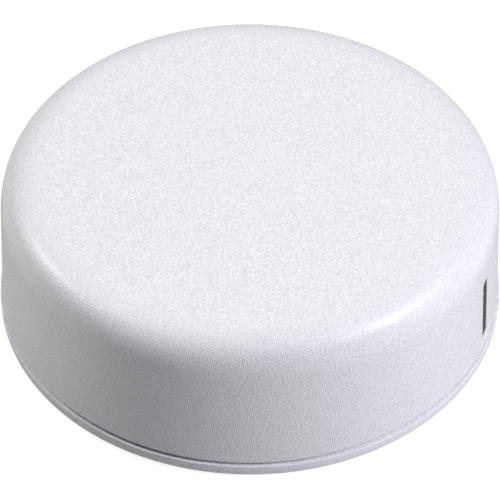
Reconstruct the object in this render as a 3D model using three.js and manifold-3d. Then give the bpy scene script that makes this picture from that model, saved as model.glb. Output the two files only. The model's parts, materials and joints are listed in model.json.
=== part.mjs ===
// Streaming media player: a round, low puck with a deep moulded cover on a thin base.
// A narrow window slot faces -Y and the recessed port bay faces +Y.
// Millimetres, +Z up, with the origin on the floor under the centre of the rubber foot.

import * as THREE from 'three';
import { mergeVertices } from 'three/addons/utils/BufferGeometryUtils.js';
import Module from 'manifold-3d';

const wasm = await Module();
wasm.setup();

// ---- Driving dimensions -------------------------------------------------------------------

// Outside of the puck.
const OUTER_R = 55; // widest radius, at the rim of the base
const TOP_Z = 35.5; // top of the cover above the floor
const FOOT_PROUD = 0.6; // how far the rubber ring stands below the base
const RIM_TOP_Z = 3.25; // top of the rim that shows below the cover
const SEAM_GAP = 0.65; // shadow gap between the rim and the cover
const COVER_FOOT_R = 54.54; // radius of the cover at its lower edge
const SHOULDER_R = 53.36; // radius of the cover where its shoulder starts
const SHOULDER_WIDTH = 10.2; // the shoulder's soft corner, measured inwards
const SHOULDER_HEIGHT = 10; // and downwards
const SHOULDER_POWER = 2.8; // 2 is an ellipse, and more is squarer
const WALL = 2.2; // thickness of the cover
const ROUND_SEGMENTS = 72; // sides on the large round pieces
const SMALL_SEGMENTS = 12; // sides on screws, pins and bosses

// Base tray.
const FLOOR_TOP_Z = 2.8; // inside floor of the base
const SPIGOT_R = 51.9; // outside of the lip that centres the cover
const SPIGOT_WALL = 1.9;
const SPIGOT_TOP_Z = 5.3;
const RIM_EDGE = 0.3; // bevel along the top of the rim
const BASE_EDGE = 0.6; // bevel along the bottom of the rim
const GROOVE_R = [43.7, 50.3]; // groove for the rubber foot
const GROOVE_TOP_Z = 1.5;
const LABEL_RECESS_R = 24; // shallow blank recess in the middle of the underside
const LABEL_RECESS = 0.3;
const VENT_COUNT = 32;
const VENT_R = 31.5; // middle of the radial vents
const VENT_LENGTH = 5.5;
const VENT_WIDTH = 1.5;

// Fasteners.
const BOSS_X = 29; // cover bosses, one in each quarter
const BOSS_Y = 25;
const BOSS_R = 3;
const SEAT_R = 3.8; // seats on the base that the bosses land on
const SEAT_TOP_Z = 4.6;
const SCREW_HEAD_R = 2.3;
const SCREW_HEAD_HEIGHT = 1.7;
const SCREW_SHANK_R = 1.15;
const SCREW_LENGTH = 9.5;
const BOARD_SCREW_LENGTH = 5.5;
const SCREW_CLEARANCE = 0.3;
const CASE_SCREW_Z = FOOT_PROUD + 0.25; // face of the case screws, just inside their wells
const PILOT_R = 1.3;
const STANDOFF_PLACES = [[40, 4], [-40, 4], [17, -40], [-17, -40]];
const STANDOFF_R = 2.6;

// Main board and the parts on it.
const BOARD_R = 50;
const BOARD_BOTTOM_Z = 8;
const BOARD_TOP_Z = 9.6;
const BOARD_REAR_Y = 42.5;
const SOLDER_GAP = 0.05; // between the board and what stands on it
const PART_Z = BOARD_TOP_Z + SOLDER_GAP;
const TOUCH_GAP = 0.15; // between pieces that rest on each other

// Port bay and its panel.
const BAY_HALF_WIDTH = 23.8;
const BAY_BOTTOM_Z = 5.5;
const BAY_TOP_Z = 25.5;
const BAY_CORNER_R = 4;
const PANEL_FACE_Y = 44.5;
const PANEL_THICKNESS = 1.6;
const PANEL_BACK_Y = PANEL_FACE_Y - PANEL_THICKNESS;
const PANEL_HALF_WIDTH = 24.5;
const PANEL_TOP_Z = 27;
const HOOD_BOTTOM_Z = 25.65;
const HOOD_R = 50.75; // the hood reaches the inside of the cover
const WINDOW_CLEARANCE = 0.25; // around each socket in the panel

// Sockets, left to right as seen from the front.
const BUTTON_X = -20.6;
const BUTTON_Z = 13.4;
const BUTTON_R = 2.1;
const BUTTON_PROUD = 0.8;
const BUTTON_TRAVEL = 0.5;
const BUTTON_STEM_Y = 41.3; // back end of the stem
const SWITCH_Y = 38.95; // middle of the switch
const SWITCH_DEPTH = 3.5;
const PLUNGER_R = 1.6;
const PLUNGER_BACK_Y = 39.6;
const POWER_X = -13.1;
const POWER_Z = 13.35;
const POWER_BODY = 7;
const POWER_BODY_Y = [33.2, 42.6];
const POWER_NOSE_R = 3.2;
const POWER_HOLE_R = 2;
const POWER_HOLE_BACK_Y = 35;
const POWER_PIN_R = 0.65;
const POWER_PIN_TIP_Y = 43.5;
const VIDEO_X = -1.35;
const VIDEO_WIDTH = 14.6;
const VIDEO_HEIGHT = 5.2;
const VIDEO_SHEET = 0.35;
const VIDEO_BACK_Y = 33.5;
const VIDEO_BLOCK_Y = [34, 36.5];
const VIDEO_TONGUE_TIP_Y = 43.4;
const VIDEO_TONGUE_WIDTH = 11.2;
const NETWORK_X = 14.7;
const NETWORK_WIDTH = 15.6;
const NETWORK_HEIGHT = 13.5;
const NETWORK_Y = [29.5, 44.4];
const NETWORK_MOUTH_WIDTH = 11.9;
const NETWORK_MOUTH_HEIGHT = 8.4;
const NETWORK_MOUTH_BACK_Y = 31.5;
const NETWORK_CONTACT_PITCH = 1.02;

// Window slot at the front.
const SLOT_WIDTH = 2.6;
const SLOT_HEIGHT = 15.6;
const SLOT_Z = 14.8;
const WINDOW_INSET = 0.5; // from the cover's outside to the face of the window

const FINISHES = {
  pearl_plastic: { color: 0xe8e9ef, roughness: 0.42, metalness: 0 },
  dark_plastic: { color: 0x2b2c30, roughness: 0.55, metalness: 0 },
  smoked_plastic: { color: 0x17161a, roughness: 0.15, metalness: 0 },
  black_rubber: { color: 0x1d1d1f, roughness: 0.85, metalness: 0 },
  zinc_steel: { color: 0xb9bcc0, roughness: 0.35, metalness: 1 },
  nickel_steel: { color: 0xc9c8c4, roughness: 0.25, metalness: 1 },
  bare_aluminium: { color: 0x8f9296, roughness: 0.4, metalness: 1 },
  gold_contact: { color: 0xd2a64b, roughness: 0.3, metalness: 1 },
  green_board: { color: 0x1d4f36, roughness: 0.5, metalness: 0 },
  black_epoxy: { color: 0x1b1c1e, roughness: 0.6, metalness: 0 },
  grey_pad: { color: 0x8d97a3, roughness: 0.9, metalness: 0 },
  clear_lens: { color: 0xf2f3e6, roughness: 0.2, metalness: 0 },
};

// ---- Solids -------------------------------------------------------------------------------

/** Six times the volume that a list of triangles encloses, negative where it is inside out. */
function signedVolume(positions, triangles) {
  const [a, b, c] = [new THREE.Vector3(), new THREE.Vector3(), new THREE.Vector3()];
  let sum = 0;
  for (let i = 0; i < triangles.length; i += 3) {
    a.fromArray(positions, 3 * triangles[i]);
    b.fromArray(positions, 3 * triangles[i + 1]);
    c.fromArray(positions, 3 * triangles[i + 2]);
    sum += a.dot(b.cross(c));
  }
  return sum;
}

/** Turns a closed three.js geometry into a solid that can be joined and cut. */
function solidOf(geometry) {
  const bare = geometry.clone();
  bare.deleteAttribute('normal');
  bare.deleteAttribute('uv');
  const merged = mergeVertices(bare);
  const corners = merged.index.array;
  const positions = Float32Array.from(merged.attributes.position.array);
  const triangles = [];
  for (let i = 0; i < corners.length; i += 3) {
    const [a, b, c] = corners.slice(i, i + 3);
    if (a !== b && b !== c && c !== a) triangles.push(a, b, c);
  }
  if (signedVolume(positions, triangles) < 0) triangles.reverse();
  const triVerts = Uint32Array.from(triangles);
  return new wasm.Manifold(new wasm.Mesh({ numProp: 3, vertProperties: positions, triVerts }));
}

/** The solid's surface as a three.js geometry. */
function geometryOf(solid) {
  const mesh = solid.getMesh();
  const geometry = new THREE.BufferGeometry();
  geometry.setAttribute('position', new THREE.BufferAttribute(mesh.vertProperties, 3));
  geometry.setIndex(new THREE.BufferAttribute(mesh.triVerts, 1));
  return geometry;
}

/** A box from its low and high ends along each axis. */
function box([x0, x1], [y0, y1], [z0, z1]) {
  const geometry = new THREE.BoxGeometry(x1 - x0, y1 - y0, z1 - z0);
  return solidOf(geometry.translate((x0 + x1) / 2, (y0 + y1) / 2, (z0 + z1) / 2));
}

/** A box that stands on z0, given its middle in X and Y. */
function block(x, y, width, depth, z0, height) {
  return box([x - width / 2, x + width / 2], [y - depth / 2, y + depth / 2], [z0, z0 + height]);
}

/** An upright round rod. */
function rodZ(x, y, radius, [z0, z1], sides = SMALL_SEGMENTS) {
  const geometry = new THREE.CylinderGeometry(radius, radius, z1 - z0, sides);
  return solidOf(geometry.rotateX(Math.PI / 2).translate(x, y, (z0 + z1) / 2));
}

/** A round rod that lies along Y. */
function rodY(x, z, radius, [y0, y1], sides = 24) {
  const geometry = new THREE.CylinderGeometry(radius, radius, y1 - y0, sides);
  return solidOf(geometry.translate(x, (y0 + y1) / 2, z));
}

/** A solid of revolution about an upright axis, from [radius, z] pairs. */
function turned(profile, segments, x = 0, y = 0) {
  const points = profile.map(([radius, z]) => new THREE.Vector2(radius, z));
  const geometry = new THREE.LatheGeometry(points, segments);
  return solidOf(geometry.rotateX(Math.PI / 2).translate(x, y, 0));
}

/** A ring between two radii, as a closed profile. */
function ring([inner, outer], [z0, z1], segments = ROUND_SEGMENTS) {
  const profile = [[inner, z0], [outer, z0], [outer, z1], [inner, z1], [inner, z0]];
  return turned(profile, segments);
}

/** An outline in X and Z pushed along Y. */
function pushedY(shape, [y0, y1], curveSegments = 5) {
  const options = { depth: y1 - y0, bevelEnabled: false, curveSegments };
  const geometry = new THREE.ExtrudeGeometry(shape, options);
  return solidOf(geometry.rotateX(Math.PI / 2).translate(0, y1, 0));
}

/** A rectangle in X and Z with round corners. */
function roundedRectangle(x, z, width, height, radius) {
  const [left, right] = [x - width / 2, x + width / 2];
  const [low, high] = [z - height / 2, z + height / 2];
  const shape = new THREE.Shape();
  shape.moveTo(left + radius, low);
  shape.lineTo(right - radius, low);
  shape.absarc(right - radius, low + radius, radius, -Math.PI / 2, 0);
  shape.lineTo(right, high - radius);
  shape.absarc(right - radius, high - radius, radius, 0, Math.PI / 2);
  shape.lineTo(left + radius, high);
  shape.absarc(left + radius, high - radius, radius, Math.PI / 2, Math.PI);
  shape.lineTo(left, low + radius);
  shape.absarc(left + radius, low + radius, radius, Math.PI, 1.5 * Math.PI);
  return shape;
}

/** Joins a list of solids. */
function joined(solids) {
  return solids.reduce((sum, solid) => sum.add(solid));
}

/** Cuts a list of solids out of one. */
function cut(solid, tools) {
  return tools.reduce((left, tool) => left.subtract(tool), solid);
}

const CENTRE = new THREE.Vector2(0, 0);

/** The four places [x, y] where the cover is screwed to the base. */
const BOSS_PLACES = [[BOSS_X, BOSS_Y], [-BOSS_X, BOSS_Y], [BOSS_X, -BOSS_Y], [-BOSS_X, -BOSS_Y]];

// ---- The object's group -------------------------------------------------------------------

const player = new THREE.Group();
player.name = 'streaming_media_player';

/** Adds one named piece in one of the finishes. */
function add(name, solid, finish) {
  const material = new THREE.MeshStandardMaterial({ ...FINISHES[finish], flatShading: true });
  const mesh = new THREE.Mesh(geometryOf(solid), material);
  mesh.name = name;
  player.add(mesh);
}

// ---- Enclosure ----------------------------------------------------------------------------

const COVER_FOOT_Z = RIM_TOP_Z + SEAM_GAP;
const SHOULDER_Z = TOP_Z - SHOULDER_HEIGHT;

/** Points on the rounded shoulder, a quarter of a superellipse from the wall to the flat top. */
function shoulderArc(radius, z, width, height, steps) {
  const points = [];
  for (let i = 0; i <= steps; i += 1) {
    const angle = (i / steps) * (Math.PI / 2);
    const across = Math.cos(angle) ** (2 / SHOULDER_POWER);
    const up = Math.sin(angle) ** (2 / SHOULDER_POWER);
    points.push([radius - width * (1 - across), z + height * up]);
  }
  return points;
}

/** The deep outer shell, with screw bosses, the port bay and the window slot. */
function topCover() {
  const outside = shoulderArc(SHOULDER_R, SHOULDER_Z, SHOULDER_WIDTH, SHOULDER_HEIGHT, 8);
  const inside = shoulderArc(
    SHOULDER_R - WALL, SHOULDER_Z, SHOULDER_WIDTH - WALL, SHOULDER_HEIGHT - WALL, 5,
  );
  const profile = [
    [COVER_FOOT_R, COVER_FOOT_Z],
    ...outside,
    [0, TOP_Z],
    [0, TOP_Z - WALL],
    ...inside.reverse(),
    [COVER_FOOT_R - WALL, COVER_FOOT_Z],
    [COVER_FOOT_R, COVER_FOOT_Z],
  ];
  const shell = turned(profile, ROUND_SEGMENTS);
  const bossEnds = [SEAT_TOP_Z + TOUCH_GAP, TOP_Z - WALL / 2];
  const bosses = BOSS_PLACES.map(([x, y]) => rodZ(x, y, BOSS_R, bossEnds));
  const pilotEnds = [SEAT_TOP_Z - 1, SEAT_TOP_Z + SCREW_LENGTH];
  const pilots = BOSS_PLACES.map(([x, y]) => rodZ(x, y, PILOT_R, pilotEnds));
  const bayMiddle = (BAY_BOTTOM_Z + BAY_TOP_Z) / 2;
  const bayOutline = roundedRectangle(
    0, bayMiddle, 2 * BAY_HALF_WIDTH, BAY_TOP_Z - BAY_BOTTOM_Z, BAY_CORNER_R,
  );
  const bay = pushedY(bayOutline, [PANEL_BACK_Y, OUTER_R + 1]);
  const slotOutline = roundedRectangle(0, SLOT_Z, SLOT_WIDTH, SLOT_HEIGHT, SLOT_WIDTH / 2 - 0.05);
  const slot = pushedY(slotOutline, [-OUTER_R - 1, -OUTER_R + 2 * WALL + 1]);
  return cut(joined([shell, ...bosses]), [...pilots, bay, slot]);
}

/** Floor, rim, spigot, screw seats and board standoffs in one moulding. */
function baseTray() {
  const bottom = FOOT_PROUD;
  const recessTop = bottom + LABEL_RECESS;
  const profile = [
    [0, recessTop],
    [LABEL_RECESS_R, recessTop],
    [LABEL_RECESS_R + LABEL_RECESS, bottom],
    [GROOVE_R[0], bottom],
    [GROOVE_R[0], GROOVE_TOP_Z],
    [GROOVE_R[1], GROOVE_TOP_Z],
    [GROOVE_R[1], bottom],
    [OUTER_R - BASE_EDGE, bottom],
    [OUTER_R, bottom + BASE_EDGE],
    [OUTER_R, RIM_TOP_Z - RIM_EDGE],
    [OUTER_R - RIM_EDGE, RIM_TOP_Z],
    [SPIGOT_R, RIM_TOP_Z],
    [SPIGOT_R, SPIGOT_TOP_Z],
    [SPIGOT_R - SPIGOT_WALL, SPIGOT_TOP_Z],
    [SPIGOT_R - SPIGOT_WALL, FLOOR_TOP_Z],
    [0, FLOOR_TOP_Z],
  ];
  const tray = turned(profile, ROUND_SEGMENTS);
  const root = FLOOR_TOP_Z - 0.5;
  const seats = BOSS_PLACES.map(([x, y]) => rodZ(x, y, SEAT_R, [root, SEAT_TOP_Z]));
  const standoffTop = BOARD_BOTTOM_Z - SOLDER_GAP;
  const standoffs = STANDOFF_PLACES.map(([x, y]) => rodZ(x, y, STANDOFF_R, [root, standoffTop]));
  const sill = box(
    [-BAY_HALF_WIDTH, BAY_HALF_WIDTH], [PANEL_FACE_Y - 1, SPIGOT_R], [root, SPIGOT_TOP_Z],
  ).intersect(ring([PANEL_FACE_Y - 2, SPIGOT_R], [0, TOP_Z]));
  const headTop = CASE_SCREW_Z + SCREW_HEAD_HEIGHT + TOUCH_GAP;
  const counterbores = BOSS_PLACES.map(
    ([x, y]) => rodZ(x, y, SCREW_HEAD_R + SCREW_CLEARANCE, [0, headTop], 16),
  );
  const holes = BOSS_PLACES.map(
    ([x, y]) => rodZ(x, y, SCREW_SHANK_R + SCREW_CLEARANCE, [0, SEAT_TOP_Z + 1]),
  );
  const pilotBottom = FLOOR_TOP_Z + 0.6;
  const pilots = STANDOFF_PLACES.map(([x, y]) => rodZ(x, y, PILOT_R, [pilotBottom, BOARD_TOP_Z]));
  const grooveEnds = PANEL_HALF_WIDTH + 0.4;
  const panelGroove = box(
    [-grooveEnds, grooveEnds],
    [PANEL_BACK_Y - WINDOW_CLEARANCE, PANEL_FACE_Y + WINDOW_CLEARANCE],
    [FLOOR_TOP_Z, BOARD_TOP_Z],
  );
  const tools = [...counterbores, ...holes, ...pilots, panelGroove, ...ventCuts()];
  return cut(joined([tray, ...seats, ...standoffs, sill]), tools);
}

/** Radial vents through the floor of the base, left out where a case screw stands. */
function ventCuts() {
  const cuts = [];
  for (let i = 0; i < VENT_COUNT; i += 1) {
    const angle = ((i + 0.5) / VENT_COUNT) * 2 * Math.PI;
    const end = new THREE.Vector2(VENT_R + VENT_LENGTH / 2, 0).rotateAround(CENTRE, angle);
    const meetsScrew = BOSS_PLACES.some(([x, y]) => Math.hypot(end.x - x, end.y - y) < 2 * BOSS_R);
    if (meetsScrew) continue;
    const bar = new THREE.BoxGeometry(VENT_LENGTH, VENT_WIDTH, 2 * FLOOR_TOP_Z);
    bar.translate(VENT_R, 0, FLOOR_TOP_Z).rotateZ(angle);
    cuts.push(solidOf(bar));
  }
  return cuts;
}

/** Rubber ring that the player stands on. */
function footRing() {
  const [inner, outer] = [GROOVE_R[0] + 0.3, GROOVE_R[1] - 0.3];
  const top = GROOVE_TOP_Z - TOUCH_GAP;
  const edge = 0.3;
  const profile = [
    [inner + edge, 0],
    [outer - edge, 0],
    [outer, edge],
    [outer, top],
    [inner, top],
    [inner, edge],
    [inner + edge, 0],
  ];
  return turned(profile, ROUND_SEGMENTS);
}

/** Screw with its head down, as seen from below, or up when flipped. */
function screw(x, y, headZ, length, headUp) {
  const way = headUp ? -1 : 1;
  const shoulder = headZ + way * SCREW_HEAD_HEIGHT;
  const socket = headZ + way * 0.9;
  const tip = shoulder + way * length;
  const profile = [
    [0, socket],
    [1, socket],
    [1, headZ],
    [SCREW_HEAD_R - 0.3, headZ],
    [SCREW_HEAD_R, headZ + way * 0.3],
    [SCREW_HEAD_R, shoulder],
    [SCREW_SHANK_R, shoulder],
    [SCREW_SHANK_R, tip - way * 0.8],
    [0.3, tip],
    [0, tip],
  ];
  return turned(profile, 10, x, y);
}

add('top_cover', topCover(), 'pearl_plastic');
add('base_tray', baseTray(), 'pearl_plastic');
add('foot_ring', footRing(), 'black_rubber');

BOSS_PLACES.forEach(([x, y], i) => {
  add(`case_screw_${i + 1}`, screw(x, y, CASE_SCREW_Z, SCREW_LENGTH, false), 'zinc_steel');
});

// ---- Board and what it carries ------------------------------------------------------------

const BALLAST_R = 26.5;
const BALLAST_TOP_Z = 5.6;
const ANTENNA_Z = [11, 24];
const ANTENNA_LENGTH = 29;
const CAPACITOR_R = 3.15;
const CAPACITOR_HEIGHT = 6;
const CAPACITOR_PLACES = [[-34, 17], [-12, 23]];
const CHIP_TOP_Z = PART_Z + 1.3; // top of the main chip
const SINK_BASE_Z = 11.95;
const SINK_BASE_HEIGHT = 1.8;
const SINK_PIN_PLACES = [[-12.5, -13.8], [12.5, 11.8]];
const SINK_PIN_R = 1;
const SINK_PIN_HEAD_R = 2;
const SINK_PIN_TIP_Z = 6.4;

/** Round board with a straight rear edge, cleared for the cover bosses. */
function mainBoard() {
  const disc = rodZ(0, 0, BOARD_R, [BOARD_BOTTOM_Z, BOARD_TOP_Z], 48);
  const through = [BOARD_BOTTOM_Z - 1, BOARD_TOP_Z + 1];
  const rear = box([-OUTER_R, OUTER_R], [BOARD_REAR_Y, OUTER_R], through);
  const bossHoles = BOSS_PLACES.map(([x, y]) => rodZ(x, y, BOSS_R + 0.7, through));
  const screwHoles = STANDOFF_PLACES.map(
    ([x, y]) => rodZ(x, y, SCREW_SHANK_R + SCREW_CLEARANCE, through),
  );
  const pinHoles = SINK_PIN_PLACES.map(([x, y]) => rodZ(x, y, SINK_PIN_R + 0.2, through, 8));
  return cut(disc, [rear, ...bossHoles, ...screwHoles, ...pinHoles]);
}

/** Finned heat sink over the main chip. */
function heatSink() {
  const finCount = 9;
  const finPitch = 3.8;
  const finHeight = 5.8;
  const base = box([-16, 16], [-16, 14], [SINK_BASE_Z, SINK_BASE_Z + SINK_BASE_HEIGHT]);
  const fins = [];
  for (let i = 0; i < finCount; i += 1) {
    const x = (i - (finCount - 1) / 2) * finPitch;
    fins.push(block(x, -1, 1.1, 21, SINK_BASE_Z + 1, SINK_BASE_HEIGHT - 1 + finHeight));
  }
  const through = [SINK_BASE_Z - 1, SINK_BASE_Z + SINK_BASE_HEIGHT + 1];
  const holes = SINK_PIN_PLACES.map(([x, y]) => rodZ(x, y, SINK_PIN_R + 0.2, through, 8));
  return cut(joined([base, ...fins]), holes);
}

/** Push pin that holds the heat sink to the board. */
function sinkPin(x, y) {
  const headBottom = SINK_BASE_Z + SINK_BASE_HEIGHT + TOUCH_GAP;
  const profile = [
    [0, SINK_PIN_TIP_Z],
    [SINK_PIN_R / 2, SINK_PIN_TIP_Z],
    [SINK_PIN_R, SINK_PIN_TIP_Z + 0.8],
    [SINK_PIN_R, headBottom],
    [SINK_PIN_HEAD_R, headBottom],
    [SINK_PIN_HEAD_R, headBottom + 1],
    [0, headBottom + 1],
  ];
  return turned(profile, 10, x, y);
}

/** Flexible antenna that lines the inside of the cover, centred on an angle. */
function antenna(degrees) {
  const wedge = new THREE.BoxGeometry(8, ANTENNA_LENGTH, 2 * TOP_Z);
  wedge.translate(BOARD_R - 2.5, 0, 0).rotateZ(THREE.MathUtils.degToRad(degrees));
  return ring([BOARD_R + 0.4, BOARD_R + 0.8], ANTENNA_Z).intersect(solidOf(wedge));
}

/** Thin antenna lead from the radio to the antenna on one side (-1 or 1). */
function antennaCable(side) {
  const route = [
    [6.5, -32, 12.95], [11, -34.5, 13.1], [18, -35, 12.9], [28, -33.2, 12.6],
    [36.5, -29, 13], [41.8, -26.1, 14.5],
  ];
  const path = new THREE.CatmullRomCurve3(
    route.map(([x, y, z]) => new THREE.Vector3(side * x, y, z)),
  );
  const section = new THREE.Shape();
  section.absarc(0, 0, 0.57, 0, 2 * Math.PI);
  const options = { steps: 18, bevelEnabled: false, curveSegments: 4, extrudePath: path };
  return solidOf(new THREE.ExtrudeGeometry(section, options));
}

// Surface-mounted parts: name, middle [x, y], size [x, y, z] and finish.
const CHIPS = [
  ['soc_chip', [0, -1], [15, 15, 1.3], 'black_epoxy'],
  ['memory_chip_1', [23.2, 6.5], [9, 12, 1], 'black_epoxy'],
  ['memory_chip_2', [23.2, -8], [9, 12, 1], 'black_epoxy'],
  ['flash_chip', [-25, 7], [11.5, 13, 1], 'black_epoxy'],
  ['power_manager_chip', [-24, -7], [6, 6, 0.9], 'black_epoxy'],
  ['power_inductor_1', [-34, -8], [5.5, 5.5, 3], 'black_epoxy'],
  ['power_inductor_2', [-33, -15.5], [5.5, 5.5, 3], 'black_epoxy'],
  ['clock_crystal', [12, -21], [3.2, 2.5, 0.8], 'nickel_steel'],
  ['network_transformer', [14.7, 21.5], [12.7, 7, 5], 'black_epoxy'],
  ['wireless_module', [0, -32], [18, 13, 0.8], 'green_board'],
];

add('ballast_plate', rodZ(0, 0, BALLAST_R, [FLOOR_TOP_Z + 0.2, BALLAST_TOP_Z], 48), 'zinc_steel');
add('main_board', mainBoard(), 'green_board');
STANDOFF_PLACES.forEach(([x, y], i) => {
  const headZ = PART_Z + SCREW_HEAD_HEIGHT;
  add(`board_screw_${i + 1}`, screw(x, y, headZ, BOARD_SCREW_LENGTH, true), 'zinc_steel');
});
for (const [name, [x, y], [width, depth, height], finish] of CHIPS) {
  add(name, block(x, y, width, depth, PART_Z, height), finish);
}
CAPACITOR_PLACES.forEach(([x, y], i) => {
  const can = rodZ(x, y, CAPACITOR_R, [PART_Z, PART_Z + CAPACITOR_HEIGHT], 20);
  add(`bulk_capacitor_${i + 1}`, can, 'zinc_steel');
});
const padHeight = SINK_BASE_Z - CHIP_TOP_Z - 2 * SOLDER_GAP;
add('thermal_pad', block(0, -1, 14, 14, CHIP_TOP_Z + SOLDER_GAP, padHeight), 'grey_pad');
add('heat_sink', heatSink(), 'bare_aluminium');
SINK_PIN_PLACES.forEach(([x, y], i) => {
  add(`heat_sink_pin_${i + 1}`, sinkPin(x, y), 'nickel_steel');
});
add('wireless_shield', block(0, -32, 11, 11, PART_Z + 0.9, 1.8), 'nickel_steel');
add('antenna_left', antenna(-148), 'gold_contact');
add('antenna_right', antenna(-32), 'gold_contact');
add('antenna_cable_left', antennaCable(-1), 'black_rubber');
add('antenna_cable_right', antennaCable(1), 'black_rubber');

// ---- Rear ports ---------------------------------------------------------------------------

const NETWORK_Z = PART_Z + NETWORK_HEIGHT / 2;
const VIDEO_Z = PART_Z + VIDEO_HEIGHT / 2;

/** Outline of the video socket: flat top, lower corners cut back. */
function videoOutline(inset) {
  const half = VIDEO_WIDTH / 2 - inset;
  const halfHeight = VIDEO_HEIGHT / 2 - inset;
  const bevel = 1.9;
  const shape = new THREE.Shape();
  shape.moveTo(VIDEO_X - half, VIDEO_Z + halfHeight);
  shape.lineTo(VIDEO_X - half, VIDEO_Z - halfHeight + bevel);
  shape.lineTo(VIDEO_X - half + bevel, VIDEO_Z - halfHeight);
  shape.lineTo(VIDEO_X + half - bevel, VIDEO_Z - halfHeight);
  shape.lineTo(VIDEO_X + half, VIDEO_Z - halfHeight + bevel);
  shape.lineTo(VIDEO_X + half, VIDEO_Z + halfHeight);
  return shape;
}

/** Plate across the port bay, with a hood that closes the top of the bay. */
function portPanel() {
  const plateBottom = FLOOR_TOP_Z + 0.2;
  const width = [-PANEL_HALF_WIDTH, PANEL_HALF_WIDTH];
  const plate = box(width, [PANEL_BACK_Y, PANEL_FACE_Y], [plateBottom, PANEL_TOP_Z]);
  const hoodBlock = box(width, [PANEL_BACK_Y, OUTER_R], [HOOD_BOTTOM_Z, PANEL_TOP_Z]);
  const hood = hoodBlock.intersect(rodZ(0, 0, HOOD_R, [0, TOP_Z], ROUND_SEGMENTS));
  const through = [PANEL_BACK_Y - 1, PANEL_FACE_Y + 1];
  const networkWindow = block(
    NETWORK_X, PANEL_FACE_Y, NETWORK_WIDTH + 2 * WINDOW_CLEARANCE, 4,
    PART_Z - WINDOW_CLEARANCE, NETWORK_HEIGHT + 2 * WINDOW_CLEARANCE,
  );
  const videoWindow = pushedY(videoOutline(-WINDOW_CLEARANCE), through);
  const powerWindow = rodY(POWER_X, POWER_Z, POWER_NOSE_R + WINDOW_CLEARANCE, through);
  const buttonHole = rodY(BUTTON_X, BUTTON_Z, BUTTON_R + WINDOW_CLEARANCE, through);
  return cut(plate.add(hood), [networkWindow, videoWindow, powerWindow, buttonHole]);
}

/** Bent steel shell of the video socket, open at the front and closed at the back. */
function videoShell() {
  const outer = pushedY(videoOutline(0), [VIDEO_BACK_Y, PANEL_FACE_Y + 0.2]);
  const inner = pushedY(videoOutline(VIDEO_SHEET), [VIDEO_BACK_Y + VIDEO_SHEET, OUTER_R]);
  return outer.subtract(inner);
}

/** Moulded block at the back of the video socket, with the contact tongue. */
function videoInsert() {
  const back = pushedY(videoOutline(VIDEO_SHEET + 0.1), VIDEO_BLOCK_Y);
  const half = VIDEO_TONGUE_WIDTH / 2;
  const tongue = box(
    [VIDEO_X - half, VIDEO_X + half], [VIDEO_BLOCK_Y[0] + 2, VIDEO_TONGUE_TIP_Y],
    [VIDEO_Z - 0.1, VIDEO_Z + 1],
  );
  return back.add(tongue);
}

/** Network jack body, with a mouth for the plug and a notch below it for the latch. */
function networkHousing() {
  const bottom = NETWORK_Z - 3.2;
  const halfBody = NETWORK_WIDTH / 2;
  const body = box(
    [NETWORK_X - halfBody, NETWORK_X + halfBody], NETWORK_Y, [PART_Z, PART_Z + NETWORK_HEIGHT],
  );
  const steps = [
    [NETWORK_MOUTH_WIDTH / 2, bottom, bottom + NETWORK_MOUTH_HEIGHT],
    [3.2, bottom - 1.6, bottom + 1],
    [1.8, bottom - 2.7, bottom],
  ];
  const depth = [NETWORK_MOUTH_BACK_Y, OUTER_R];
  const mouth = steps.map(
    ([half, z0, z1]) => box([NETWORK_X - half, NETWORK_X + half], depth, [z0, z1]),
  );
  return cut(body, mouth);
}

/** Folded steel can around the network jack, open at the front and below. */
function networkShield() {
  const [gap, sheet] = [0.1, 0.25];
  const back = NETWORK_Y[0] - gap - sheet;
  const inner = NETWORK_WIDTH / 2 + gap;
  const outer = inner + sheet;
  const top = PART_Z + NETWORK_HEIGHT + gap;
  const front = PANEL_BACK_Y - 2 * gap;
  const shell = box([NETWORK_X - outer, NETWORK_X + outer], [back, front], [PART_Z, top + sheet]);
  const core = box([NETWORK_X - inner, NETWORK_X + inner], [back + sheet, OUTER_R], [0, top]);
  return shell.subtract(core);
}

/** Comb of eight spring contacts in the roof of the network jack. */
function networkContacts() {
  const roof = NETWORK_Z + 5.2 - TOUCH_GAP;
  const bar = box([NETWORK_X - 5, NETWORK_X + 5], [31.7, 33.2], [roof - 1.6, roof]);
  const contacts = [bar];
  for (let i = 0; i < 8; i += 1) {
    const x = NETWORK_X + (i - 3.5) * NETWORK_CONTACT_PITCH;
    const finger = new THREE.BoxGeometry(0.4, 7.5, 0.35);
    finger.rotateX(0.2).translate(x, 36.4, roof - 1);
    contacts.push(solidOf(finger));
  }
  return joined(contacts);
}

/** Body of the power inlet, with a round nose and a deep round hole. */
function powerHousing() {
  const half = POWER_BODY / 2;
  const body = box([POWER_X - half, POWER_X + half], POWER_BODY_Y, [PART_Z, 2 * POWER_Z - PART_Z]);
  const nose = rodY(POWER_X, POWER_Z, POWER_NOSE_R, [POWER_BODY_Y[1] - 1, PANEL_FACE_Y]);
  const hole = rodY(POWER_X, POWER_Z, POWER_HOLE_R, [POWER_HOLE_BACK_Y, OUTER_R], 20);
  return body.add(nose).subtract(hole);
}

/** Button cap with a flange behind the panel and a stem towards the switch. */
function buttonCap() {
  const flangeFront = PANEL_BACK_Y - WINDOW_CLEARANCE;
  const cap = rodY(BUTTON_X, BUTTON_Z, BUTTON_R, [flangeFront - 0.4, PANEL_FACE_Y + BUTTON_PROUD]);
  const flange = rodY(BUTTON_X, BUTTON_Z, BUTTON_R + 0.8, [flangeFront - 0.8, flangeFront]);
  const stemEnds = [BUTTON_STEM_Y, flangeFront - 0.4];
  const stem = rodY(BUTTON_X, BUTTON_Z, 1.2, stemEnds, SMALL_SEGMENTS);
  return joined([cap, flange, stem]);
}

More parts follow.
